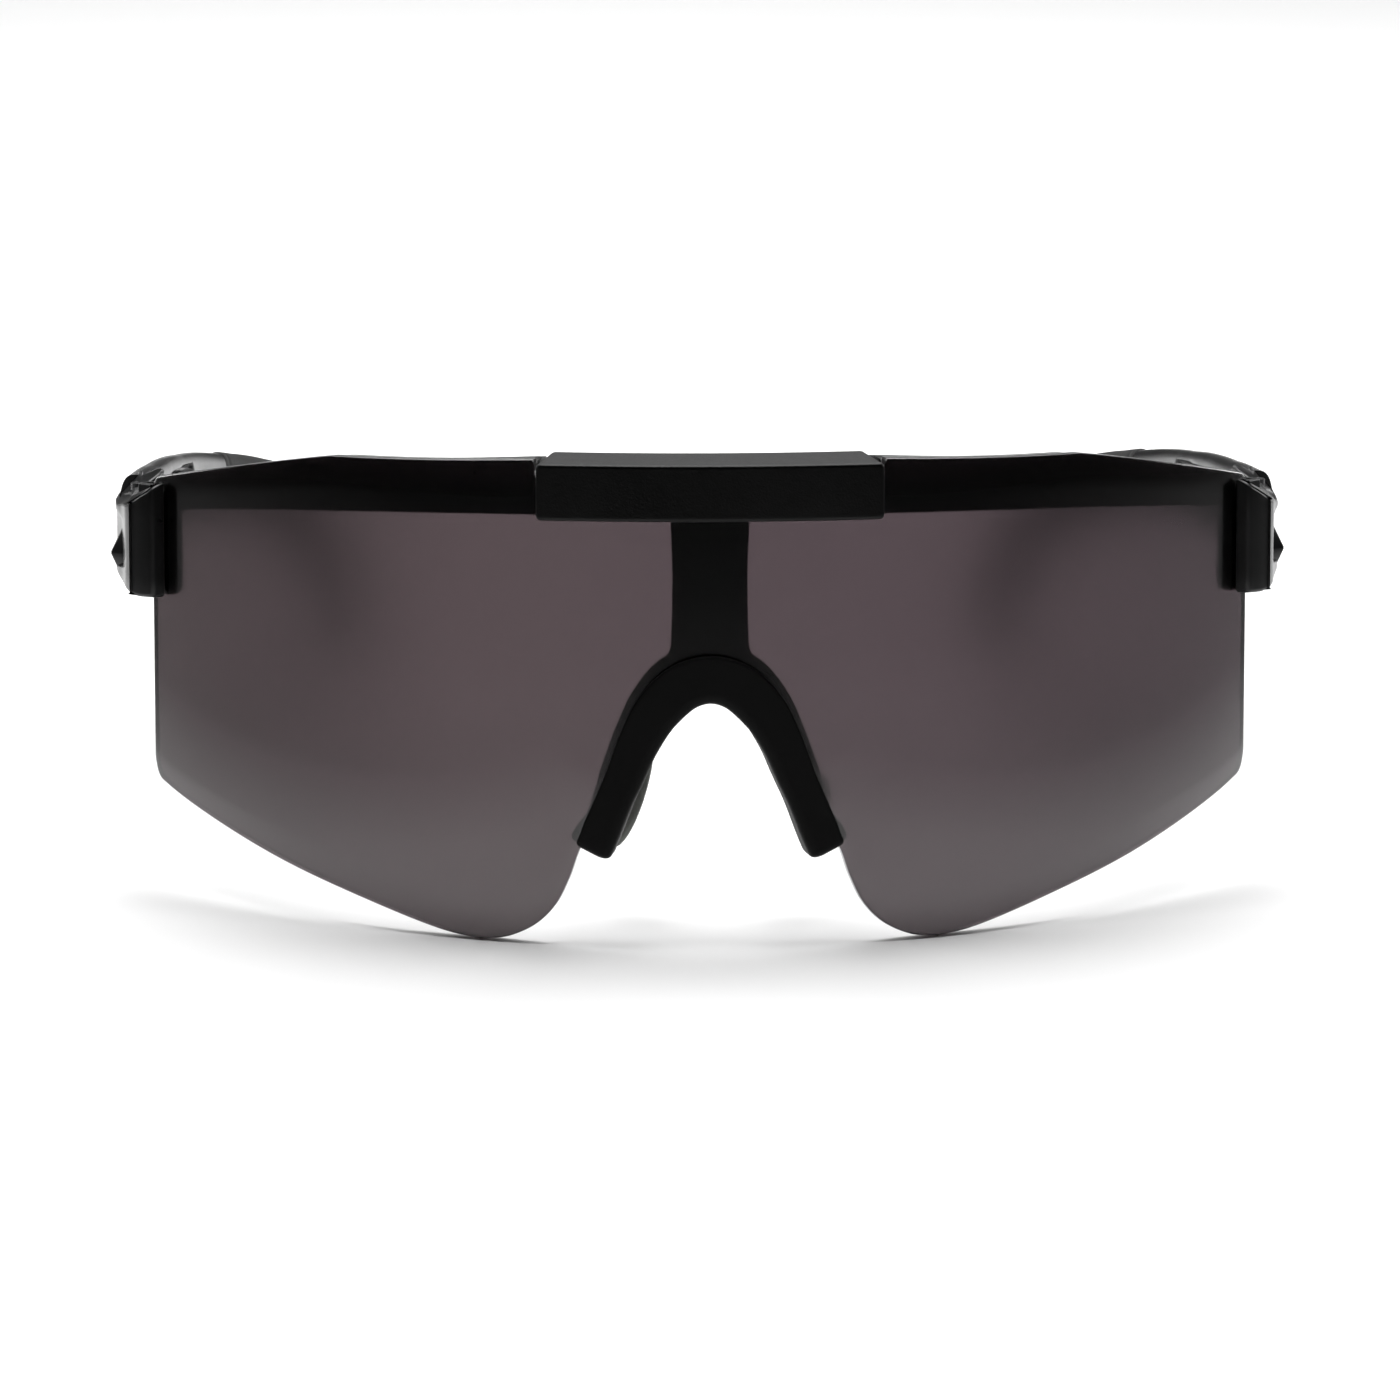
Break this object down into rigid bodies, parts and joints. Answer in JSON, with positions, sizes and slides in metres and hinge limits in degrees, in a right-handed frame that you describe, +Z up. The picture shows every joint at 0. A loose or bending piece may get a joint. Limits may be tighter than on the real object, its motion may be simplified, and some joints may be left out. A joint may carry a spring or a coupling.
{
  "type": "wraparound sport sunglasses",
  "caption": "Wraparound shield sunglasses: one curved tinted lens on a T-shaped frame, brow cap, rubber nose arch with bendable pads, and folding temples.",
  "frame": {"origin": "centre of the bounding box at its bottom, on the surface the glasses stand on", "axes": "+X to the right as seen from in front, -Y to the front, +Z up; standing on the lens's two lobes and both ear tips"},
  "size_m": [0.1476, 0.1727, 0.0589],
  "materials": {
    "lens": "tinted polycarbonate, glossy front",
    "frame": "semi-gloss moulded nylon",
    "cap": "fine matte grain",
    "arch": "satin moulded rubber",
    "pad": "soft matte rubber",
    "arm": "semi-gloss moulded nylon",
    "sock": "matte rubber",
    "grip": "ribbed rubber",
    "steel": "plain steel",
    "nut": "turned brass"
  },
  "bodies": {
    "front": {"shield_lens": "lens", "t_frame": "frame", "brow_cap": "cap", "cap_screw_left": "steel", "cap_screw_right": "steel", "nose_arch": "arch"},
    "pad_left": {"nose_pad_left": "pad", "pad_wire_left": "steel"},
    "temple_left": {"temple_arm_left": "arm", "ear_sock_left": "sock", "temple_core_left": "steel", "temple_grip_left": "grip", "hinge_screw_left": "steel", "hinge_nut_left": "nut"},
    "pad_right": {"nose_pad_right": "pad", "pad_wire_right": "steel"},
    "temple_right": {"temple_arm_right": "arm", "ear_sock_right": "sock", "temple_core_right": "steel", "temple_grip_right": "grip", "hinge_screw_right": "steel", "hinge_nut_right": "nut"}
  },
  "joints": [
    {"name": "temple_fold_left", "type": "hinge", "parent": "front", "child": "temple_left", "pos_m": [-0.0699, -0.04646, 0.04191], "axis": [0, -0.0914, -0.9958], "range_deg": [0, 76]},
    {"name": "temple_fold_right", "type": "hinge", "parent": "front", "child": "temple_right", "pos_m": [0.0699, -0.04646, 0.04191], "axis": [0, 0.0914, 0.9958], "range_deg": [0, 62]},
    {"name": "nose_pad_left_bend", "type": "hinge", "parent": "front", "child": "pad_left", "pos_m": [-0.01015, -0.08026, 0.02415], "axis": [0, 0.0914, 0.9958], "range_deg": [-10, 10]},
    {"name": "nose_pad_right_bend", "type": "hinge", "parent": "front", "child": "pad_right", "pos_m": [0.01015, -0.08026, 0.02415], "axis": [0, 0.0914, 0.9958], "range_deg": [-10, 10]}
  ]
}
